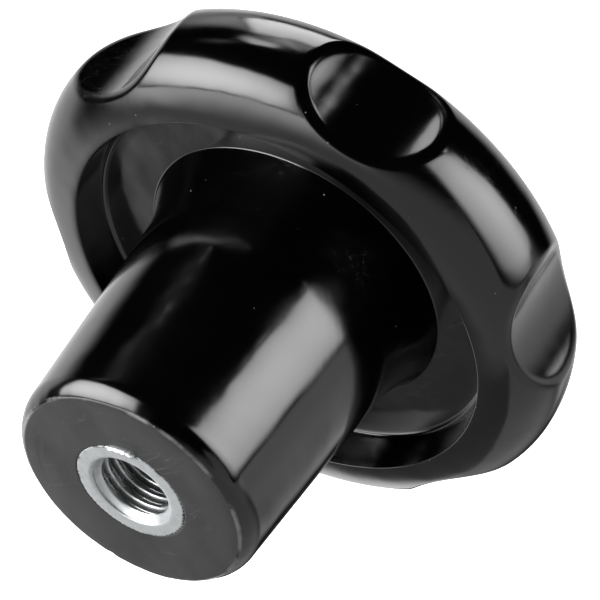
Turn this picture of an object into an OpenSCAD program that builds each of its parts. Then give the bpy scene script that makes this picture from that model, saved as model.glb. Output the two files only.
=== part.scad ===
// Six-fluted clamping knob with a tall hub and a moulded-in threaded bush.
// The knob stands on its hand face at z = 0, and the hub rises along +Z to the thread's mouth.

/* [Wheel] */
// Diameter of the wheel over its lobes
wheel_d = 80; // [76:1:90]
// Height of the wheel's widest circle above the hand face
widest_z = 10; // [8:0.5:12]
// Radial run of the rounding between the hand face and the widest circle
hand_round = 6.5; // [3:0.5:10]
// Height of the rim's inner lip above the hand face
lip_z = 18; // [16:0.5:22]

/* [Flutes] */
// Number of finger flutes around the wheel
flute_count = 6; // [4:1:8]
// Radius of the round cutter that leaves one flute
flute_r = 18; // [10:0.5:20]
// Depth of a flute below the lobes
flute_depth = 4; // [2:0.1:6]

/* [Recess] */
// Diameter of the recess at the rim's lip
recess_d = 62.4; // [60:0.2:64]
// Diameter of the recess at its floor
recess_floor_d = 60.6; // [58:0.2:60.6]
// Height of the recess floor above the hand face
recess_floor_z = 12.2; // [9:0.2:14]
// Radius of the fillet at the foot of the recess wall
recess_fillet = 0.8; // [0.3:0.1:1.2]

/* [Hub] */
// Height of the whole plastic body
body_h = 55; // [50:1:65]
// Diameter of the hub's side just under the rounded nose
hub_nose_d = 35.6; // [34:0.2:38]
// Diameter of the hub's side where the flare starts
hub_foot_d = 38.6; // [38:0.2:40]
// Height above the hand face where the flare starts
flare_z = 21.4; // [20:0.2:23]
// Radius of the concave flare that joins the hub to the recess floor
flare_r = 20; // [16:0.5:24]
// Radius of the nose rounding, which facing off the nose cuts short
nose_round = 4; // [3:0.5:4.5]
// Diameter of the faced-off flat on the nose
nose_flat_d = 32.6; // [32.4:0.2:33.4]

/* [Threaded bush] */
// Outside diameter of the bush over its knurl
bush_d = 16.4; // [15.6:0.2:18]
// Length of the bush
bush_len = 34; // [30:1:40]
// Height by which the bush stands proud of the nose
bush_proud = 0.1; // [0.05:0.05:0.8]
// Diameter of the thread's crests, M12 by 1.75
thread_crest_d = 10.2; // [10:0.1:10.4]
// Length of the threaded bore from the bush's end face
thread_len = 26; // [18:1:27]
// Diameter of the countersink at the thread's mouth
mouth_d = 12.8; // [12.2:0.2:13.4]
// Point angle of the drill that made the blind bore
drill_angle = 118; // [90:1:140]
// Number of teeth in the straight knurl
knurl_count = 72; // [36:2:72]
// Depth of the knurl
knurl_depth = 0.25; // [0.2:0.05:0.5]
// Width of each locking groove
groove_w = 3; // [2:0.5:4]
// Depth of each locking groove below the knurl
groove_depth = 0.9; // [0.5:0.1:1.2]

/* [Hidden] */
$fn = 96;
arc_steps = 10;
overlap = 1;
wheel_r = wheel_d / 2;
hand_flat_r = wheel_r - hand_round;
recess_r = recess_d / 2;
recess_floor_r = recess_floor_d / 2;
flute_centre_r = wheel_r - flute_depth + flute_r;
hub_nose_r = hub_nose_d / 2;
hub_foot_r = hub_foot_d / 2;
nose_flat_r = nose_flat_d / 2;
bush_r = bush_d / 2;
bush_top_z = body_h + bush_proud;
bush_bottom_z = bush_top_z - bush_len;
crest_r = thread_crest_d / 2;
mouth_depth = (mouth_d - thread_crest_d) / 2;
drill_point = crest_r / tan(drill_angle / 2);
// The nose rounding ends where the facing cut meets it
nose_end_angle = acos(1 - (hub_nose_r - nose_flat_r) / nose_round);
nose_centre_z = body_h - nose_round * sin(nose_end_angle);
// The hub's side leans outwards by this angle as it goes down
hub_taper = atan((hub_foot_r - hub_nose_r) / (nose_centre_z - flare_z));
flare_centre = [hub_foot_r + flare_r * cos(hub_taper), flare_z + flare_r * sin(hub_taper)];
flare_end_angle = asin((flare_centre[1] - recess_floor_z) / flare_r);
// Locking grooves, measured down from the bush's end face
groove_tops = [10, 24];

// Points along an elliptical arc, from angle a0 to a1
function arc(centre, rx, rz, a0, a1) =
    [for (i = [0:arc_steps]) let (a = a0 + (a1 - a0) * i / arc_steps)
        [centre[0] + rx * cos(a), centre[1] + rz * sin(a)]];

// Half section of the plastic body, hand face first
module body_section() {
    polygon(concat(
        [[0, 0]],
        arc([hand_flat_r, widest_z], hand_round, widest_z, -90, 0),
        arc([recess_r, widest_z], wheel_r - recess_r, lip_z - widest_z, 0, 90),
        arc([recess_floor_r - recess_fillet, recess_floor_z + recess_fillet],
            recess_fillet, recess_fillet, 0, -90),
        arc(flare_centre, flare_r, flare_r, 180 + flare_end_angle, 180 + hub_taper),
        arc([hub_nose_r - nose_round, nose_centre_z], nose_round, nose_round, 0, nose_end_angle),
        [[0, body_h]]));
}

// One straight flute, cut right through the wheel
module flute() {
    translate([flute_centre_r, 0, -overlap])
        cylinder(r = flute_r, h = lip_z + 2 * overlap);
}

// Ring that a locking groove takes out of the bush
module locking_groove(top) {
    translate([0, 0, bush_top_z - top - groove_w])
        difference() {
            cylinder(r = bush_r + overlap, h = groove_w);
            translate([0, 0, -overlap])
                cylinder(r = bush_r - knurl_depth - groove_depth, h = groove_w + 2 * overlap);
        }
}

// Outside of the bush: straight knurl with two locking grooves
module bush_outside() {
    difference() {
        translate([0, 0, bush_bottom_z])
            linear_extrude(bush_len)
                polygon([for (i = [0:2 * knurl_count - 1])
                    let (a = 180 * i / knurl_count, r = bush_r - (i % 2) * knurl_depth)
                        [r * cos(a), r * sin(a)]]);
        for (top = groove_tops) locking_groove(top);
    }
}

// Blind bore of the bush: countersink, threaded length and drill point
module bush_bore() {
    rotate_extrude()
        polygon([
            [0, bush_top_z + overlap],
            [mouth_d / 2 + overlap, bush_top_z + overlap],
            [crest_r, bush_top_z - mouth_depth],
            [crest_r, bush_top_z - thread_len],
            [0, bush_top_z - thread_len - drill_point]]);
}

// Moulded black phenolic body: wheel, recess and hub in one piece
module knob_body() {
    color([0.02, 0.02, 0.022])
        difference() {
            rotate_extrude() body_section();
            for (i = [0:flute_count - 1]) rotate(360 * i / flute_count) flute();
            bush_outside();
        }
}

// Zinc-plated steel bush that the body is moulded around
module threaded_bush() {
    color([0.78, 0.8, 0.8])
        difference() {
            bush_outside();
            bush_bore();
        }
}

knob_body();
threaded_bush();
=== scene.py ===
import math
import bpy
import numpy as np
from mathutils import Matrix, Vector


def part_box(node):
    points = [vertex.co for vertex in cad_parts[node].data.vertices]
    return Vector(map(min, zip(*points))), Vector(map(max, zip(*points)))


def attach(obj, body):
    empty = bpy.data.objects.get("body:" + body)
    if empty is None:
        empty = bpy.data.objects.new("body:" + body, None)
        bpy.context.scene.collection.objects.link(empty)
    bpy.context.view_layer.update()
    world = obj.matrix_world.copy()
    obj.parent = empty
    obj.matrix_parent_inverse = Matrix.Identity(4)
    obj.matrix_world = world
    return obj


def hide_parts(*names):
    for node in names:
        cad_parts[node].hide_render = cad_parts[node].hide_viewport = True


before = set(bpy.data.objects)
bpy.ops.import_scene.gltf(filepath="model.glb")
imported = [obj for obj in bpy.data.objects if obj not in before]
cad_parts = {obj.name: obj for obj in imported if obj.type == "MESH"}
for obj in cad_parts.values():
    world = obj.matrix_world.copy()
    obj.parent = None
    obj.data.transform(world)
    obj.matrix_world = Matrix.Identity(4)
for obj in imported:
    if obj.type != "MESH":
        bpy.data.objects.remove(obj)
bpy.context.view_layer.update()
print("frame loaded")

mm = 0.001
bodyLow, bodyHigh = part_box("knob_body")
bushLow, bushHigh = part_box("threaded_bush")
columnCount = 432  # around the axis: six to a knurl tooth, seventy-two to a flute
aroundAxis = np.arange(columnCount) * 2 * math.pi / columnCount - math.pi / 6

knurl = {
    "teeth": 72,
    "depth": 0.25,
    "outerRadius": bushHigh.x / mm,
    "endHeight": bushHigh.z / mm,
    "grooveTops": (10.0, 24.0),  # below the bush's end
    "grooveWidth": 3.0,
    "grooveDepth": 0.9,
    "grooveStep": 0.05,
}


# A triangle wave around the bush: full radius on each tooth's crest,
# and the knurl's depth less halfway between two crests.
def knurlRadius(k, angle):
    tooth = (angle * k["teeth"] / (2 * math.pi)) % 1.0
    return k["outerRadius"] - k["depth"] * (1 - np.abs(2 * tooth - 1))


# Heights of the locking grooves' edges, from the top down, with 1 for the edges
# of their floors and 0 for the edges at the knurl.
def grooveEdges(k):
    tops = k["endHeight"] - np.array(k["grooveTops"])
    floors = tops - k["grooveWidth"]
    step = k["grooveStep"]
    heights = np.stack([tops, tops - step, floors + step, floors], 1).ravel()
    return heights, np.tile([0, 1, 1, 0], len(tops))


# Radius of a locking groove's floor: its depth below the knurl's roots.
def grooveFloor(k):
    return k["outerRadius"] - k["depth"] - k["grooveDepth"]


# Points of an ellipse in the radius and height plane: the centre plus the half
# axes times the cosine and sine of an angle that runs evenly from start to end.
def ellipseArc(centreR, centreZ, radiusR, radiusZ, startAngle, endAngle, count):
    angle = np.radians(np.linspace(startAngle, endAngle, count))
    return np.stack([centreR + radiusR * np.cos(angle), centreZ + radiusZ * np.sin(angle)], 1)


# Points evenly spaced on the line from start to end, with the start left out.
def straight(start, end, count):
    share = np.linspace(0, 1, count + 1)[1:, None]
    return np.array(start) + share * (np.array(end) - np.array(start))


# Eases from 0 at low to 1 at high, with the cubic 3s squared less 2s cubed.
def smooth(low, high, value):
    share = np.clip((value - low) / (high - low), 0, 1)
    return share * share * (3 - 2 * share)


# The sum of sine waves around the axis, each with its count, size and start.
def wavesAround(waves, angle):
    return sum(size * np.sin(count * angle + start) for count, size, start in waves)


# Skins a grid of rows and columns that closes around its columns. Neighbouring
# rows are joined by quads, and the first and last rows each shrink to one pole.
def closedMesh(name, points, material):
    rows, columns = points.shape[:2]
    ring = np.arange(columns)
    after = np.roll(ring, -1)
    rowStart = 1 + np.arange(rows - 3)[:, None] * columns
    quads = np.stack([rowStart + ring, rowStart + after,
                      rowStart + columns + after, rowStart + columns + ring], -1).reshape(-1, 4)
    lastPole = 1 + (rows - 2) * columns
    lastRow = lastPole - columns
    openFan = np.stack([np.zeros(columns, int), 1 + after, 1 + ring], 1)
    closeFan = np.stack([np.full(columns, lastPole), lastRow + ring, lastRow + after], 1)
    vertices = np.concatenate([points[0, :1], points[1:-1].reshape(-1, 3), points[-1, :1]])
    mesh = bpy.data.meshes.new(name)
    mesh.from_pydata(vertices.tolist(), [], openFan.tolist() + quads.tolist() + closeFan.tolist())
    mesh.shade_smooth()
    mesh.materials.append(material)
    piece = bpy.data.objects.new(name, mesh)
    bpy.context.scene.collection.objects.link(piece)
    return piece


cameraView = {
    "azimuth": -66.59,  # degrees around +Z, from +X
    "elevation": 33.89,  # degrees above the hand face
    "roll": 143.4,  # degrees that the view is turned about its own axis
    "distance": 0.5240,
    "aim": (-0.0004, -0.0063, 0.0191),
    "lens": 236.05,
    "sensor": 36.0,
}


# Right, up and backward directions of the camera: a level camera's directions
# at that azimuth and elevation, turned about the view axis by the roll.
def viewAxes(view):
    azimuth, elevation, roll = (math.radians(view[key]) for key in ("azimuth", "elevation", "roll"))
    backward = Vector((math.cos(elevation) * math.cos(azimuth),
                       math.cos(elevation) * math.sin(azimuth), math.sin(elevation)))
    levelRight = Vector((0, 0, 1)).cross(backward).normalized()
    levelUp = backward.cross(levelRight)
    up = levelUp * math.cos(roll) + levelRight * math.sin(roll)
    return up.cross(backward), up, backward


viewRight, viewUp, viewBack = viewAxes(cameraView)
cameraData = bpy.data.cameras.new("camera")
cameraData.lens = cameraView["lens"]
cameraData.sensor_width = cameraView["sensor"]
cameraData.clip_end = 20
camera = bpy.data.objects.new("camera", cameraData)
turn = Matrix((viewRight, viewUp, viewBack)).transposed().to_4x4()
camera.matrix_world = Matrix.Translation(Vector(cameraView["aim"]) + viewBack * cameraView["distance"]) @ turn
bpy.context.scene.collection.objects.link(camera)
bpy.context.scene.camera = camera
print("camera placed")


# Links a socket to another, or sets its value where a plain value is given.
def feed(tree, socket, value):
    if isinstance(value, bpy.types.NodeSocket):
        tree.links.new(value, socket)
    else:
        socket.default_value = value


# A node of that kind, with its settings, and with the named inputs fed.
def addNode(tree, kind, settings=None, **inputs):
    node = tree.nodes.new(kind)
    for key, value in (settings or {}).items():
        setattr(node, key, value)
    for key, value in inputs.items():
        feed(tree, node.inputs[key.replace("_", " ")], value)
    return node


# One step of arithmetic on values or sockets, held between 0 and 1 on request.
def combine(tree, operation, first, second=0.0, clamp=False):
    node = addNode(tree, "ShaderNodeMath", {"operation": operation, "use_clamp": clamp})
    feed(tree, node.inputs[0], first)
    feed(tree, node.inputs[1], second)
    return node.outputs[0]


# The product of two values or sockets.
def times(tree, first, second):
    return combine(tree, "MULTIPLY", first, second)


# The sum of two values or sockets.
def plus(tree, first, second, clamp=False):
    return combine(tree, "ADD", first, second, clamp)


# 0 below low, 1 above high, and an eased rise between them.
def band(tree, value, low, high, bottom=0.0, top=1.0):
    node = addNode(tree, "ShaderNodeMapRange", {"interpolation_type": "SMOOTHSTEP"}, Value=value,
                   From_Min=low, From_Max=high, To_Min=bottom, To_Max=top)
    return node.outputs[0]


# The first at a share of 0, the second at a share of 1, evenly mixed between.
def mix(tree, kind, share, first, second):
    node = addNode(tree, "ShaderNodeMix", {"data_type": kind}, Factor=share, A=first, B=second)
    return node.outputs["Result"]


# The first colour times one less the share, plus the second times the share.
def mixColours(tree, share, first, second):
    return mix(tree, "RGBA", share, first, second)


# The same mix of two numbers.
def mixNumbers(tree, share, first, second):
    return mix(tree, "FLOAT", share, first, second)


# The same colour, each of its parts times a factor.
def scaled(colour, factor):
    return tuple(factor * part for part in colour[:3]) + (1,)


# Object coordinates, which ride with each piece's own mesh.
def objectPlace(tree):
    return addNode(tree, "ShaderNodeTexCoord").outputs["Object"]


# A shared group in a tree, with the named inputs fed.
def placeGroup(tree, group, **inputs):
    return addNode(tree, "ShaderNodeGroup", {"node_tree": group}, **inputs)


# The value of a noise at a place.
def noise(tree, place, scale, detail=2.0, roughness=0.5):
    return addNode(tree, "ShaderNodeTexNoise", Vector=place, Scale=scale, Detail=detail,
                   Roughness=roughness).outputs[0]


# A shared shader group, with its inputs' usual values and its outputs' names.
def newGroup(name, inputs, outputs):
    tree = bpy.data.node_groups.new(name, "ShaderNodeTree")
    for label, value in inputs.items():
        socket = tree.interface.new_socket(label, in_out="INPUT", socket_type="NodeSocketFloat")
        socket.default_value = value
    for label in outputs:
        tree.interface.new_socket(label, in_out="OUTPUT", socket_type="NodeSocketFloat")
    given = tree.nodes.new("NodeGroupInput").outputs
    result = tree.nodes.new("NodeGroupOutput").inputs
    return tree, given, result


# Where a point lies: its distance from the axis, its height and its angle.
def makeKnobPlace():
    tree, given, result = newGroup("knobPlace", {}, ("Radius", "Height", "Angle"))
    x, y, z = addNode(tree, "ShaderNodeSeparateXYZ", Vector=objectPlace(tree)).outputs
    square = plus(tree, times(tree, x, x), times(tree, y, y))
    feed(tree, result["Radius"], combine(tree, "SQRT", square))
    feed(tree, result["Height"], z)
    feed(tree, result["Angle"], combine(tree, "ARCTAN2", y, x))
    return tree


handling = {
    "group": {"Speck Spacing": 0.0022, "Speck Size": 0.07, "Scratch Scale": 260.0},
    "specksFrom": 0.45,  # share of the cells that stay clean
    "least": 0.001,
    "stretch": (1.0, 0.12, 1.0),
    "turn": (0.5, 0.3, 0.9),
    "patchScale": 90.0,
    "patches": (0.5, 0.68),
    "hairWidth": 0.012,
}


# Small marks of handling: a few dust specks, each one less the distance from its
# cell's point over its size, and fine hairline scratches that are thin slices of
# a stretched noise.
def makeHandlingMarks(h):
    tree, given, result = newGroup("handlingMarks", h["group"], ("Specks", "Scratches"))
    place = objectPlace(tree)
    scale = combine(tree, "DIVIDE", 1.0, given["Speck Spacing"])
    cells = addNode(tree, "ShaderNodeTexVoronoi", {"feature": "F1"}, Vector=place, Scale=scale)
    chosen = addNode(tree, "ShaderNodeSeparateColor", Color=cells.outputs["Color"]).outputs[0]
    limit = times(tree, given["Speck Size"], band(tree, chosen, h["specksFrom"], 1.0))
    reach = combine(tree, "DIVIDE", cells.outputs["Distance"], combine(tree, "MAXIMUM", limit, h["least"]))
    dot = combine(tree, "SUBTRACT", 1.0, reach, True)
    feed(tree, result["Specks"], band(tree, dot, 0.0, 0.5))
    stretched = addNode(tree, "ShaderNodeMapping", Vector=place, Rotation=h["turn"], Scale=h["stretch"])
    lines = noise(tree, stretched.outputs[0], given["Scratch Scale"], 3.0, 0.7)
    offMiddle = combine(tree, "ABSOLUTE", combine(tree, "SUBTRACT", lines, 0.5))
    hair = band(tree, offMiddle, h["hairWidth"], 0.0)
    patches = band(tree, noise(tree, place, h["patchScale"]), *h["patches"])
    feed(tree, result["Scratches"], times(tree, hair, patches))
    return tree


turning = {
    "group": {"Ring Scale": 2500.0, "Break Up": 0.5},
    "around": 0.0004,  # how much the rings change along their length
    "patchScale": 300.0,
    "patches": (0.3, 0.7),
}


# Turning marks: noise read along the distance from the axis and the height, so
# that it makes rings, and its strength comes and goes around them.
def makeTurnedRings(r):
    tree, given, result = newGroup("turnedRings", r["group"], ("Rings",))
    where = placeGroup(tree, knobPlace).outputs
    vector = addNode(tree, "ShaderNodeCombineXYZ", X=where["Radius"], Y=where["Height"],
                     Z=times(tree, where["Angle"], r["around"]))
    rings = noise(tree, vector.outputs[0], given["Ring Scale"])
    patches = band(tree, noise(tree, objectPlace(tree), r["patchScale"], 1.0), *r["patches"])
    fade = mixNumbers(tree, given["Break Up"], 1.0, patches)
    feed(tree, result["Rings"], times(tree, combine(tree, "SUBTRACT", rings, 0.5), fade))
    return tree


knobPlace = makeKnobPlace()
handlingMarks = makeHandlingMarks(handling)
turnedRings = makeTurnedRings(turning)


# A material with only an output and a Principled shader, and its node tree.
def newMaterial(name):
    material = bpy.data.materials.new(name)
    material.use_nodes = True
    tree = material.node_tree
    tree.nodes.clear()
    output = tree.nodes.new("ShaderNodeOutputMaterial")
    shader = tree.nodes.new("ShaderNodeBsdfPrincipled")
    tree.links.new(shader.outputs[0], output.inputs[0])
    return material, tree, shader


# Tilts the shading by a relief whose heights are in millimetres.
def addRelief(tree, shader, relief):
    bump = addNode(tree, "ShaderNodeBump", Height=relief, Strength=1.0, Distance=mm)
    feed(tree, shader.inputs["Normal"], bump.outputs[0])


body = {
    "height": bodyHigh.z / mm,
    "wheelRadius": bodyHigh.y / mm,
    "widestHeight": 10.0,
    "handRound": 6.5,
    "lipHeight": 18.0,
    "lipRadius": 31.2,
    "lipEdge": 0.12,
    "recessFloorRadius": 30.3,
    "recessFloorHeight": 12.2,
    "recessFillet": 0.8,
    "flareHeight": 21.4,
    "flareRadius": 20.0,
    "hubFootRadius": 19.3,
    "hubNoseRadius": 17.8,
    "noseRound": 4.0,
    "noseDrop": 3.12,
    "noseEdge": 0.7,
    "pocketFloor": bushLow.z / mm,
    "fluteCount": 6,
    "fluteRadius": 18.0,
    "fluteDepth": 4.0,
    "fluteEdge": 0.8,
    "fluteCrowding": 0.55,  # how closely columns crowd towards a flute's edge
    "leastFluteShare": 0.23,
    "blendRows": 9,
    "noseWaves": ((3, 0.035, 0.6), (7, 0.030, 2.0), (17, 0.018, 1.1), (43, 0.010, 0.0)),
    "nickAngle": 123.4,
    "nickWidth": 1.6,
    "nickDepth": 0.16,
    "wavesBelow": (2.2, 0.2),  # depths under the nose's face between which they fade in
    "wavesBeyond": (15.0, 15.8),  # radii between which they fade in
    "knurledAbove": 20.0,
    "black": (0.0004, 0.0004, 0.0005, 1),
    "facedGrey": (0.003, 0.003, 0.0031, 1),
    "scratchGrey": (0.09, 0.09, 0.09, 1),
    "wornGrey": (0.16, 0.16, 0.155, 1),
    "dust": (0.20, 0.19, 0.18, 1),
    "polish": 0.10,
    "facedRoughness": 0.33,
    "dustRoughness": 0.7,
    "refraction": 1.6,
    "facedDepths": (0.00012, 0.00002),  # this and the next three are in metres
    "facedRadii": (0.0170, 0.0166),
    "wornDepths": (0.00035, 0.0001),
    "wornRadii": (0.01600, 0.01625),
    "cloudScale": 130.0,
    "grainScale": 1800.0,
    "crumbScale": 1500.0,
    "wavyScale": 75.0,
    "rippleScale": 330.0,
    "wavyRelief": 0.34,
    "rippleRelief": 0.0022,
    "grainRelief": 0.0016,
    "ringRelief": 0.012,
}


# Half section from the middle of the hand face, around the rim, over the recess
# and up the hub to the bottom of the bush's pocket: straight runs, elliptical
# arcs at the rim, circular arcs at the fillets, the flare and the nose. The
# second result is 1 on the rows that the flutes cut.
def bodyProfile(b):
    top, nose, noseRound, wideZ = b["height"], b["noseEdge"], b["noseRound"], b["widestHeight"]
    noseZ = top - b["noseDrop"]
    noseTurn = math.asin((b["noseDrop"] - nose) / (noseRound - nose))
    edgeR = b["hubNoseRadius"] - noseRound + (noseRound - nose) * math.cos(noseTurn)
    noseEnd = math.degrees(noseTurn)
    taper = math.atan((b["hubFootRadius"] - b["hubNoseRadius"]) / (noseZ - b["flareHeight"]))
    flare = b["flareRadius"]
    flareR = b["hubFootRadius"] + flare * math.cos(taper)
    flareZ = b["flareHeight"] + flare * math.sin(taper)
    flareTurn = math.asin((flareZ - b["recessFloorHeight"]) / flare)
    flareStart = 180 + math.degrees(flareTurn)
    footR = flareR - flare * math.cos(flareTurn)
    flatR = b["wheelRadius"] - b["handRound"]
    lipR, lipZ, edge = b["lipRadius"], b["lipHeight"], b["lipEdge"]
    floorR, floorZ, fillet = b["recessFloorRadius"], b["recessFloorHeight"], b["recessFillet"]
    pocket = knurl["outerRadius"] - 0.5 * knurl["depth"]
    grooveHeights, grooveCut = grooveEdges(knurl)
    runs = [
        (0, [[0, 0]]),
        (0, straight((0, 0), (0.5 * flatR, 0), 3)),
        (0, straight((0.5 * flatR, 0), (0.92 * flatR, 0), 4)),
        (1, straight((0.92 * flatR, 0), (flatR, 0), 4)[:-1]),
        (1, ellipseArc(flatR, wideZ, b["handRound"], wideZ, -90, 0, 48)),
        (1, ellipseArc(lipR, wideZ, b["wheelRadius"] - lipR, lipZ - wideZ, 0, 89, 58)[1:]),
        (0, ellipseArc(lipR, lipZ - edge, edge, edge, 80, 190, 5)),
        (0, straight((lipR - edge, lipZ - 2 * edge), (floorR, floorZ + fillet), 6)[:-1]),
        (0, ellipseArc(floorR - fillet, floorZ + fillet, fillet, fillet, 0, -90, 7)),
        (0, straight((floorR - fillet, floorZ), (footR + 0.2, floorZ), 5)),
        (0, [[footR + 0.04, floorZ]]),
        (0, ellipseArc(flareR, flareZ, flare, flare, flareStart - 0.1, flareStart - 0.6, 2)),
        (0, ellipseArc(flareR, flareZ, flare, flare, flareStart - 2, 180 + math.degrees(taper), 18)),
        (0, straight((b["hubFootRadius"], b["flareHeight"]), (b["hubNoseRadius"], noseZ), 12)[:-1]),
        (0, ellipseArc(b["hubNoseRadius"] - noseRound, noseZ, noseRound, noseRound, 0, noseEnd - 2.5, 14)),
        (0, ellipseArc(edgeR, top - nose, nose, nose, noseEnd, 90, 9)),
        (0, straight((edgeR, top), (pocket + 0.3, top), 6)),
        (0, straight((pocket + 0.3, top), (pocket, top), 1)),
        (0, np.stack([np.where(grooveCut, grooveFloor(knurl), pocket), grooveHeights], 1)),
        (0, [[pocket, b["pocketFloor"]]]),
        (0, [[0, b["pocketFloor"]]]),
    ]
    return (np.concatenate([np.array(points, float) for weight, points in runs]),
            np.concatenate([np.full(len(points), weight) for weight, points in runs]))


# Distance of a flute's axis: the wheel's radius less the depth plus the cutter's.
def fluteCentreRadius(b):
    return b["wheelRadius"] - b["fluteDepth"] + b["fluteRadius"]


# Angle of each column in each row. In each sixth of the circle half the columns
# lie inside the flute's edge and half outside, and both crowd towards the edge,
# which is where a circle of the row's radius meets the round cutter.
def columnAngles(b, radius, weight):
    centre = fluteCentreRadius(b)
    cosine = (radius ** 2 + centre ** 2 - b["fluteRadius"] ** 2) / (2 * np.maximum(radius, 1) * centre)
    half = math.pi / b["fluteCount"]
    edge = np.arccos(np.clip(cosine, -1, 1))
    edge = np.where(weight > 0, (edge ** 4 + (b["leastFluteShare"] * half) ** 4) ** 0.25, half / 2)
    crowd = np.where(weight > 0, b["fluteCrowding"], 0.0)
    kernel = np.hanning(b["blendRows"]) / np.hanning(b["blendRows"]).sum()
    besides = b["blendRows"] // 2
    edge = np.convolve(np.pad(edge, besides, "edge"), kernel, "valid")[:, None]
    crowd = np.convolve(np.pad(crowd, besides, "edge"), kernel, "valid")[:, None]
    calm = (weight < 0.5)[:, None] & (radius < b["lipRadius"] - 1)[:, None]
    edge = np.where(calm, half / 2, edge)
    crowd = np.where(calm, 0.0, crowd)
    perFlute = columnCount // b["fluteCount"]
    share = (np.arange(perFlute) / perFlute * 2 - 1)[None, :]
    inner = np.minimum(np.abs(share) * 2, 1)
    outer = np.maximum(np.abs(share) * 2 - 1, 0)
    inside = edge * (inner + crowd * inner * (1 - inner))
    outside = (half - edge) * (outer - crowd * outer * (1 - outer))
    sector = np.sign(share) * (inside + outside)
    return np.concatenate([sector + 2 * half * i for i in range(b["fluteCount"])], 1)


# Distance outside the rim's section: how far the ellipse's equation is above
# one, divided by its slope.
def rimDepth(b, radius, height):
    upper = height > b["widestHeight"]
    centre = np.where(upper, b["lipRadius"], b["wheelRadius"] - b["handRound"])
    acrossHalf = b["wheelRadius"] - centre
    alongHalf = np.where(upper, b["lipHeight"] - b["widestHeight"], b["widestHeight"])
    across = np.maximum(radius - centre, 0) / acrossHalf
    along = (height - b["widestHeight"]) / alongHalf
    tiny = 1e-9
    size = np.sqrt(across ** 2 + along ** 2) + tiny
    slope = np.sqrt((across / acrossHalf) ** 2 + (along / alongHalf) ** 2) / size + tiny
    return (size - 1) / slope


# Distance inside the nearest flute's round cutter: its radius less the distance
# from its axis.
def cutterDepth(b, x, y):
    step = 2 * math.pi / b["fluteCount"]
    near = np.round(np.arctan2(y, x) / step) * step
    centre = fluteCentreRadius(b)
    return b["fluteRadius"] - np.hypot(x - centre * np.cos(near), y - centre * np.sin(near))


# Both distances joined by a quarter circle of the edge's radius: the root of the
# sum of the squares of each distance plus that radius, less the radius.
def roundedOutside(b, points):
    radius = np.hypot(points[..., 0], points[..., 1])
    rim = rimDepth(b, radius, points[..., 2])
    cut = cutterDepth(b, points[..., 0], points[..., 1])
    edge = b["fluteEdge"]
    joined = np.hypot(np.maximum(rim + edge, 0), np.maximum(cut + edge, 0)) - edge
    return joined + np.minimum(np.maximum(rim, cut) + edge, 0)


# Moves points along the slope of the rounded outside until they lie on it, by
# Newton's steps: the value over the squared slope, times the slope.
def settle(b, points):
    step, rounds, leastSlope = 1e-4, 6, 0.05
    for _ in range(rounds):
        value = roundedOutside(b, points)
        beside = [roundedOutside(b, points + step * axis) for axis in np.eye(3)]
        slope = (np.stack(beside, -1) - value[..., None]) / step
        size = np.maximum((slope ** 2).sum(-1), leastSlope)
        points = points - (value / size)[..., None] * slope
    return points


# The profile carried around the axis, with the flutes cut into the rim's rows.
# The faced nose has a slightly uneven edge, a few low waves and one small nick,
# and the pocket's wall takes the shape of the bush's knurl.
def makeBody(b):
    profile, weight = bodyProfile(b)
    angle = columnAngles(b, profile[:, 0], weight)
    radius = np.repeat(profile[:, :1], angle.shape[1], 1)
    height = np.repeat(profile[:, 1:], angle.shape[1], 1)
    step = 2 * math.pi / b["fluteCount"]
    fromFlute = angle - np.round(angle / step) * step
    aside = fluteCentreRadius(b) * np.sin(fromFlute)
    across = np.sqrt(np.maximum(b["fluteRadius"] ** 2 - aside ** 2, 0))
    wall = fluteCentreRadius(b) * np.cos(fromFlute) - across
    inFlute = (np.abs(aside) < b["fluteRadius"]) & (weight[:, None] > 0)
    radius = np.where(inFlute, np.minimum(radius, wall), radius)
    nearNose = smooth(*b["wavesBelow"], b["height"] - height) * smooth(*b["wavesBeyond"], radius)
    waves = wavesAround(b["noseWaves"], angle)
    nick = b["nickDepth"] * np.exp(-((np.degrees(angle) - b["nickAngle"]) / b["nickWidth"]) ** 2)
    radius = radius + nearNose * (waves - nick)
    inPocket = (profile[:, 0] < knurl["outerRadius"]) & (profile[:, 0] > 1) & (weight < 1)
    inPocket = inPocket & (profile[:, 1] > b["knurledAbove"])
    inGroove = inPocket & (profile[:, 0] < grooveFloor(knurl) + 0.1)
    radius = np.where((inPocket & ~inGroove)[:, None], knurlRadius(knurl, angle), radius)
    points = np.stack([radius * np.cos(angle), radius * np.sin(angle), height], -1)
    rim = weight > 0
    points[rim] = settle(b, points[rim])
    points[..., 0] = np.clip(points[..., 0], bodyLow.x / mm, bodyHigh.x / mm)
    points[..., 1] = np.clip(points[..., 1], bodyLow.y / mm, bodyHigh.y / mm)
    return closedMesh("knob_shell", points * mm, phenolicMaterial(b))


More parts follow.
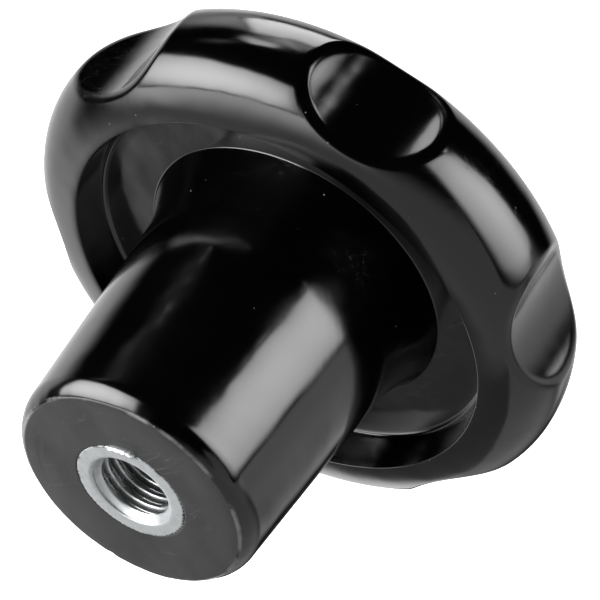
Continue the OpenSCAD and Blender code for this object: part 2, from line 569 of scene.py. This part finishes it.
# Moulded black phenolic: almost black and glossy, with soft waviness and ripples
# from the mould, dust, crumbs near the nose, and a dull grey faced-off nose whose
# edge is rubbed light in places. The relief is a weighted sum of its textures.
def phenolicMaterial(b):
    material, tree, shader = newMaterial("black_phenolic")
    place = objectPlace(tree)
    where = placeGroup(tree, knobPlace).outputs
    marks = placeGroup(tree, handlingMarks).outputs
    rings = placeGroup(tree, turnedRings).outputs["Rings"]
    height, radius = where["Height"], where["Radius"]
    top = b["height"] * mm
    facedBand = band(tree, height, *(top - depth for depth in b["facedDepths"]))
    faced = times(tree, facedBand, band(tree, radius, *b["facedRadii"]))
    edgeBand = band(tree, height, *(top - depth for depth in b["wornDepths"]))
    edgeLine = times(tree, edgeBand, band(tree, radius, *b["wornRadii"]))
    cloud = noise(tree, place, b["cloudScale"], 4.0, 0.6)
    grain = noise(tree, place, b["grainScale"], 3.0, 0.6)
    worn = times(tree, edgeLine, band(tree, cloud, 0.42, 0.6))
    lighterGrey = scaled(b["facedGrey"], 1.25)
    facedTone = mixColours(tree, band(tree, grain, 0.3, 0.7), b["facedGrey"], lighterGrey)
    facedTone = mixColours(tree, times(tree, marks["Scratches"], 0.5), facedTone, b["scratchGrey"])
    colour = mixColours(tree, faced, b["black"], facedTone)
    colour = mixColours(tree, times(tree, worn, 0.8), colour, b["wornGrey"])
    dusty = times(tree, marks["Specks"], band(tree, cloud, 0.44, 0.62, 0.15, 0.8))
    crumbs = addNode(tree, "ShaderNodeTexVoronoi", Vector=place, Scale=b["crumbScale"]).outputs
    pick = addNode(tree, "ShaderNodeSeparateColor", Color=crumbs["Color"]).outputs[0]
    crumb = times(tree, band(tree, crumbs["Distance"], 0.22, 0.1), band(tree, pick, 0.80, 0.97))
    nearEdge = plus(tree, times(tree, edgeLine, 0.8), times(tree, faced, 0.22))
    dusty = plus(tree, dusty, times(tree, crumb, nearEdge), True)
    feed(tree, shader.inputs["Base Color"], mixColours(tree, dusty, colour, b["dust"]))
    polish = mixNumbers(tree, band(tree, cloud, 0.35, 0.7), b["polish"], b["polish"] + 0.06)
    polish = plus(tree, polish, times(tree, marks["Scratches"], 0.12))
    polish = mixNumbers(tree, faced, polish, b["facedRoughness"])
    feed(tree, shader.inputs["Roughness"], mixNumbers(tree, dusty, polish, b["dustRoughness"]))
    shader.inputs["IOR"].default_value = b["refraction"]
    wavy = noise(tree, place, b["wavyScale"], 2.2, 0.4)
    ripple = addNode(tree, "ShaderNodeTexWave", {"wave_type": "BANDS", "bands_direction": "DIAGONAL"},
                     Vector=place, Scale=b["rippleScale"], Distortion=3.0, Detail=1.0).outputs["Fac"]
    ripple = times(tree, ripple, band(tree, cloud, 0.5, 0.72))
    relief = times(tree, wavy, b["wavyRelief"])
    relief = plus(tree, relief, times(tree, ripple, b["rippleRelief"]))
    relief = plus(tree, relief, times(tree, grain, b["grainRelief"]))
    turned = times(tree, times(tree, rings, faced), b["ringRelief"])
    addRelief(tree, shader, plus(tree, relief, turned))
    return material


knobShell = makeBody(body)
print("body made:", len(knobShell.data.polygons), "faces")


bush = {
    "top": bushHigh.z / mm - 0.03,
    "bottom": bushLow.z / mm,
    "edgeBreak": 0.2,
    "mouthRadius": 6.1,
    "crestRadius": 5.1,
    "rootRadius": 6.02,
    "pitch": 1.75,
    "threadLength": 26.0,
    "drillAngle": 118.0,
    "burrHeight": 0.42,
    "burrAngles": (-53.0, -21.0),  # degrees around the axis, from one end to the other
    "burrFades": (3.0, 1.5),  # degrees over which it rises and falls
    "burrRipple": (0.12, 0.9),  # its size, and how fast it runs along the burr
    "raggedWaves": ((5, 0.03, 1), (23, 0.02, 0), (61, 0.02, 0)),
    "smoothSide": -37.0,  # where the teeth are turned off the end's edge
    "smoothReach": (-0.2, 0.5),
    "mouthDepth": 1.6,
    "mouthRows": 20,
    "fineDepth": 9.0,
    "fineRows": 20,  # to a turn, down to that depth
    "deepRows": 9,
    "zinc": (0.60, 0.62, 0.63, 1),
    # painted shade for the thread's valleys in the bore
    "shadedZinc": (0.30, 0.295, 0.28, 1),
    # painted shade that deepens down the bore
    "boreShadeZinc": (0.2, 0.2, 0.19, 1),
    # a dark band along the end face's outer edge
    "rimDark": (0.07, 0.065, 0.06, 1),
    "speckDirt": (0.1, 0.095, 0.09, 1),
    "faceRoughness": 0.42,
    "threadRoughness": 0.25,
    "speckSpacing": 0.0012,
    "ringScale": 4000.0,
    "ringBreakUp": 0.35,
    "cloudScale": 700.0,
    "valleyRadii": (0.00525, 0.0059),  # this and the next are in metres
    "rimDarkRadii": (0.00772, 0.00800),
    "ringRelief": 0.014,
    "cloudRelief": 0.022,
}


# Radius of the internal thread: a 60 degree form whose phase grows with the
# height and falls with the angle, so that the groove climbs as a right-hand
# helix, with flats of a quarter pitch at the crests and an eighth at the roots.
def threadRadius(t, angle, height):
    phase = (height / t["pitch"] - angle / (2 * math.pi)) % 1.0
    ramp = np.clip((np.abs(phase - 0.5) * 2 - 0.25) / 0.625, 0, 1)
    ramp = 0.35 * ramp * ramp * (3 - 2 * ramp) + 0.65 * ramp
    return t["crestRadius"] + (t["rootRadius"] - t["crestRadius"]) * ramp


# Closed skin from the middle of the bottom face, up the knurl and its grooves,
# over the end face with its thin burr, down the countersink and the thread to
# the drill point. The wall is the wider of the thread and the 45 degree
# countersink. Distances at the end's edge are shares of the edge break.
def makeBush(t):
    angle = aroundAxis
    full = np.ones(columnCount)
    outer = knurlRadius(knurl, angle)
    smoothOuter = knurl["outerRadius"] - 0.3 * knurl["depth"]
    edge, top = t["edgeBreak"], t["top"]
    degrees = (np.degrees(angle) + 180) % 360 - 180
    first, last = t["burrAngles"]
    rise, fall = t["burrFades"]
    size, speed = t["burrRipple"]
    burr = smooth(first, first + rise, degrees) * smooth(last, last - fall, degrees)
    burr = t["burrHeight"] * burr * (1 + size * np.sin(degrees * speed))
    ragged = wavesAround(t["raggedWaves"], angle)
    calm = smooth(*t["smoothReach"], np.cos(angle - math.radians(t["smoothSide"])))
    topOuter = outer + (smoothOuter - outer) * calm
    rows = [
        (0 * full, t["bottom"] * full),
        (outer - 0.5, t["bottom"] * full),
        (outer, (t["bottom"] + 0.5) * full),
        *((np.where(cut, grooveFloor(knurl), outer), z * full)
          for z, cut in zip(*map(np.flip, grooveEdges(knurl)))),
        (outer, (top - 2.0) * full),
        (outer, (top - 0.45) * full),
        (topOuter, (top - edge) * full),
        (topOuter - 0.25 * edge, top - 0.4 * edge + 0.6 * burr),
        (0.5 * topOuter + 0.5 * smoothOuter - 0.5 * edge + ragged, top - 0.1 * edge + burr),
        (smoothOuter - 0.9 * edge + ragged, top + burr),
        (smoothOuter - 1.6 * edge + ragged, top + 0.55 * burr),
        (smoothOuter - 2.8 * edge + ragged, top + 0.05 * burr),
    ]
    faceOuter = smoothOuter - 3.2 * edge
    faceInner = t["mouthRadius"] + 0.08
    for share in (0, 0.35, 0.7, 1.0):
        rows.append(((faceOuter * (1 - share) + faceInner * share) * full, top * full))
    fine, deep = t["pitch"] / t["fineRows"], t["pitch"] / t["deepRows"]
    mouth, middle, end = t["mouthDepth"], t["fineDepth"], t["threadLength"]
    depths = np.concatenate([np.linspace(0.03, mouth, t["mouthRows"]), np.arange(mouth, middle, fine)[1:],
                             np.arange(middle, end, deep)[1:], [end]])
    wall = threadRadius(t, angle[None, :], (top - depths)[:, None])
    wall = np.maximum(wall, (t["mouthRadius"] - depths)[:, None])
    drillDrop = t["crestRadius"] / math.tan(math.radians(t["drillAngle"] / 2))
    base = top - t["threadLength"]
    drill = [(t["crestRadius"] * full, (base - 0.02) * full),
             (0.5 * t["crestRadius"] * full, (base - 0.5 * drillDrop) * full),
             (0 * full, (base - drillDrop) * full)]
    radius = np.concatenate([[r for r, z in rows], wall, [r for r, z in drill]])
    height = np.concatenate([[z for r, z in rows], (top - depths)[:, None] * full, [z for r, z in drill]])
    points = np.stack([radius * np.cos(angle), radius * np.sin(angle), height], -1)
    return closedMesh("bush_turned", points * mm, steelMaterial(t))


# Zinc-plated steel: a bright, slightly matt end face with turning rings and a patchy
# dark band along its edge, and a shinier bore whose thread carries painted shade in
# its valleys, patchy along them, and more painted shade with depth.
def steelMaterial(t):
    material, tree, shader = newMaterial("zinc_plated_steel")
    place = objectPlace(tree)
    where = placeGroup(tree, knobPlace).outputs
    marks = placeGroup(tree, handlingMarks, Speck_Spacing=t["speckSpacing"]).outputs
    rings = placeGroup(tree, turnedRings, Ring_Scale=t["ringScale"], Break_Up=t["ringBreakUp"]).outputs
    height, radius, top = where["Height"], where["Radius"], t["top"]
    cloud = noise(tree, place, t["cloudScale"], 4.0, 0.65)
    inBore = band(tree, height, (top - 0.5) * mm, (top - 1.6) * mm)
    valley = times(tree, inBore, band(tree, radius, *t["valleyRadii"]))
    # Painted shade: the bore grows darker with depth, from 2.5 to 9 mm below the end face, mixed in at up to
    # 0.6.
    deep = band(tree, height, (top - 2.5) * mm, (top - 9.0) * mm)
    # Painted shade: the thread's valleys in the bore are darkened towards a shaded zinc, patchy through a
    # cloud noise.
    valleyShade = times(tree, valley, band(tree, cloud, 0.3, 0.65, 0.35, 0.85))
    # A dark band in patches along the end face's outer edge, kept off the raised burr.
    rimDark = times(tree, band(tree, radius, *t["rimDarkRadii"]), band(tree, cloud, 0.46, 0.6))
    aboveFace = band(tree, height, (top + 0.03) * mm, (top + 0.12) * mm, 1.0, 0.0)
    rimDark = times(tree, rimDark, aboveFace)
    colour = mixColours(tree, band(tree, cloud, 0.35, 0.7), t["zinc"], scaled(t["zinc"], 0.86))
    colour = mixColours(tree, valleyShade, colour, t["shadedZinc"])
    colour = mixColours(tree, times(tree, deep, 0.6), colour, t["boreShadeZinc"])
    colour = mixColours(tree, times(tree, rimDark, 0.85), colour, t["rimDark"])
    colour = mixColours(tree, times(tree, marks["Specks"], 0.7), colour, t["speckDirt"])
    feed(tree, shader.inputs["Base Color"], colour)
    shader.inputs["Metallic"].default_value = 1
    rough = mixNumbers(tree, inBore, t["faceRoughness"], t["threadRoughness"])
    rough = plus(tree, rough, band(tree, cloud, 0.3, 0.7, 0.0, 0.12))
    rough = plus(tree, rough, times(tree, marks["Scratches"], 0.15))
    feed(tree, shader.inputs["Roughness"], rough)
    relief = times(tree, rings["Rings"], t["ringRelief"])
    addRelief(tree, shader, plus(tree, relief, times(tree, cloud, t["cloudRelief"])))
    return material


bushTurned = makeBush(bush)
print("bush made:", len(bushTurned.data.polygons), "faces")


studio = {
    "centre": (0.0, 0.0, 0.015),
    "domeRadius": 3.0,
    "floorHeight": -0.0004,
    "floorReach": 2.5,
    "floorGlow": 1.4,
}

# For each soft light: its direction from the knob, in degrees to the camera's
# right and up with 0 towards the camera, its distance in metres, its half width
# and height in degrees as the knob sees them, its roll in degrees, how far it
# leans aside and back, and its strength in the middle and at the corners.
softboxes = {
    "left_softbox": {
        "azimuth": -57.3, "elevation": 13.9, "distance": 0.154,
        "halfWidth": 27.0, "halfHeight": 20.1, "roll": -8.2,
        "aside": -0.057, "back": 0.258, "middle": 10.5, "corner": 2.0,
    },
    "right_softbox": {
        "azimuth": 59.7, "elevation": 14.4, "distance": 0.134,
        "halfWidth": 28.2, "halfHeight": 23.2, "roll": 39.7,
        "aside": -0.649, "back": -0.439, "middle": 7.2, "corner": 1.0,
    },
    "back_softbox": {
        "azimuth": 169, "elevation": 65, "distance": 1.2,
        "halfWidth": 11.5, "halfHeight": 14, "roll": 0,
        "aside": 0, "back": 0, "middle": 5.4, "corner": 4.0,
    },
}


# Unit direction from the knob, in degrees to the camera's right and up.
def studioDirection(azimuth, elevation):
    a, e = math.radians(azimuth), math.radians(elevation)
    across = viewRight * (math.sin(a) * math.cos(e))
    towards = viewBack * (math.cos(a) * math.cos(e))
    return across + viewUp * math.sin(e) + towards


# Light whose strength is the number that each point of its sheet carries.
def glowMaterial(name):
    material = bpy.data.materials.new(name)
    material.use_nodes = True
    tree = material.node_tree
    tree.nodes.clear()
    strength = addNode(tree, "ShaderNodeAttribute", {"attribute_name": "glow"})
    glow = addNode(tree, "ShaderNodeEmission", Strength=strength.outputs["Fac"])
    output = tree.nodes.new("ShaderNodeOutputMaterial")
    tree.links.new(glow.outputs[0], output.inputs[0])
    return material


# A sheet of light: a grid of points, each with its own strength, which shows in
# reflections but not to the camera.
def lightSheet(name, points, strength):
    rows, columns = points.shape[:2]
    index = np.arange(rows * columns).reshape(rows, columns)
    faces = np.stack([index[:-1, :-1], index[:-1, 1:], index[1:, 1:], index[1:, :-1]], -1).reshape(-1, 4)
    mesh = bpy.data.meshes.new(name)
    mesh.from_pydata(points.reshape(-1, 3).tolist(), [], faces.tolist())
    glow = mesh.attributes.new("glow", "FLOAT", "POINT")
    glow.data.foreach_set("value", strength.reshape(-1).astype(np.float32))
    mesh.materials.append(glowMaterial(name))
    sheet = bpy.data.objects.new(name, mesh)
    bpy.context.scene.collection.objects.link(sheet)
    sheet.visible_camera = False
    return sheet


# A flat panel, turned from square to the line from the knob by its roll and its
# two leans. Its half sizes are its distance times the tangents of its half
# angles. Its strength falls from the middle to the corners with the square of
# the distance from the middle, and its border fades out.
def softbox(name, s):
    out = studioDirection(s["azimuth"], s["elevation"])
    level = viewUp.cross(out).normalized()
    upright = out.cross(level)
    roll = math.radians(s["roll"])
    side = level * math.cos(roll) + upright * math.sin(roll)
    top = upright * math.cos(roll) - level * math.sin(roll)
    normal = (out + side * s["aside"] + top * s["back"]).normalized()
    side = (side - normal * side.dot(normal)).normalized()
    top = normal.cross(side)
    reach = np.linspace(-1.15, 1.15, 47)
    u, v = np.meshgrid(reach, reach)
    width = s["distance"] * math.tan(math.radians(s["halfWidth"]))
    height = s["distance"] * math.tan(math.radians(s["halfHeight"]))
    centre = np.array(Vector(studio["centre"]) + out * s["distance"])
    points = centre + (u * width)[..., None] * np.array(side) + (v * height)[..., None] * np.array(top)
    strength = s["middle"] + (s["corner"] - s["middle"]) * np.clip((u ** 2 + v ** 2) / 2, 0, 1)
    border = smooth(1.13, 0.88, np.abs(u)) * smooth(1.13, 0.88, np.abs(v))
    return lightSheet(name, points, strength * border)


# Strength of the room in each direction: a pale table below, pale sweeps behind,
# soft light under and beside the softboxes, a lit patch overhead with a halo, a
# streak and two lamps, and darkness elsewhere. Each is a product of eased edges
# in azimuth and elevation, in degrees, and the streak is a bell in both.
def roomLight(azimuth, elevation):
    leftShade = 1 - 0.65 * smooth(-100, -128, azimuth) * smooth(-38, -50, elevation)
    table = 0.56 * smooth(-12, -40, elevation) * leftShade
    behindLeft = smooth(-108, -126, azimuth) * smooth(46, 29, elevation) * smooth(-48, -36, elevation)
    behindRight = smooth(126, 146, azimuth) * smooth(46, 36, elevation) * smooth(-14, 4, elevation)
    underLeft = smooth(-104, -90, azimuth) * smooth(-30, -45, azimuth)
    underRight = smooth(22, 34, azimuth) * smooth(98, 78, azimuth)
    glow = smooth(-44, -14, elevation) * smooth(0, -8, elevation)
    spill = (smooth(70, 85, azimuth) * smooth(160, 146, azimuth)
             * smooth(-26, -14, elevation) * smooth(6, -4, elevation))
    overhead = smooth(74, 82, elevation) * smooth(126, 140, np.abs(azimuth))
    halo = smooth(-142, -160, azimuth) * smooth(36, 52, elevation)
    streak = np.exp(-((azimuth + 92) / 7) ** 2 - ((elevation - 63) / 6) ** 2)
    lamp = (smooth(-130, -122, azimuth) * smooth(-84, -92, azimuth)
            * smooth(72, 76, elevation) * smooth(86, 83, elevation))
    lampRight = (smooth(55, 60, azimuth) * smooth(70, 65, azimuth)
                 * smooth(21, 27, elevation) * smooth(41, 35, elevation))
    room = table + 1.15 * behindLeft + 0.95 * behindRight + 0.85 * spill + 1.7 * overhead + 1.2 * halo
    return room + (4.2 * underLeft + 0.5 * underRight) * glow + 0.5 * streak + 4.5 * lamp + 5.0 * lampRight


# A sphere of light around the knob, on a grid of azimuth and elevation.
def roomDome():
    azimuth, elevation = np.meshgrid(np.linspace(-180, 180, 181), np.linspace(-89.9, 89.9, 91))
    a, e = np.radians(azimuth)[..., None], np.radians(elevation)[..., None]
    direction = (np.sin(a) * np.cos(e) * np.array(viewRight) + np.sin(e) * np.array(viewUp)
                 + np.cos(a) * np.cos(e) * np.array(viewBack))
    centre = np.array(studio["centre"])
    points = centre + studio["domeRadius"] * direction
    return lightSheet("room_dome", points, roomLight(azimuth, elevation))


# A level pale sheet under the knob, kept bright so that shadows stay faint.
def makeFloor():
    reach, height = studio["floorReach"], studio["floorHeight"]
    corners = [(x * reach, y * reach, height) for x, y in ((-1, -1), (1, -1), (1, 1), (-1, 1))]
    mesh = bpy.data.meshes.new("floor")
    mesh.from_pydata(corners, [], [(0, 1, 2, 3)])
    material, tree, shader = newMaterial("pale_floor")
    shader.inputs["Base Color"].default_value = (0.8, 0.8, 0.8, 1)
    shader.inputs["Roughness"].default_value = 0.9
    shader.inputs["Emission Color"].default_value = (1, 1, 1, 1)
    shader.inputs["Emission Strength"].default_value = studio["floorGlow"]
    mesh.materials.append(material)
    floor = bpy.data.objects.new("floor", mesh)
    bpy.context.scene.collection.objects.link(floor)
    floor.visible_glossy = False


for name, values in softboxes.items():
    softbox(name, values)
roomDome()
makeFloor()
world = bpy.data.worlds.new("world")
world.use_nodes = True
world.node_tree.nodes["Background"].inputs["Color"].default_value = (1, 1, 1, 1)
bpy.context.scene.world = world
bpy.context.scene.view_settings.view_transform = "Standard"
print("studio lit")

for piece, node, slot in ((knobShell, "knob_body", "phenolic"), (bushTurned, "threaded_bush", "plated_steel")):
    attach(piece, "root")
    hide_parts(node)
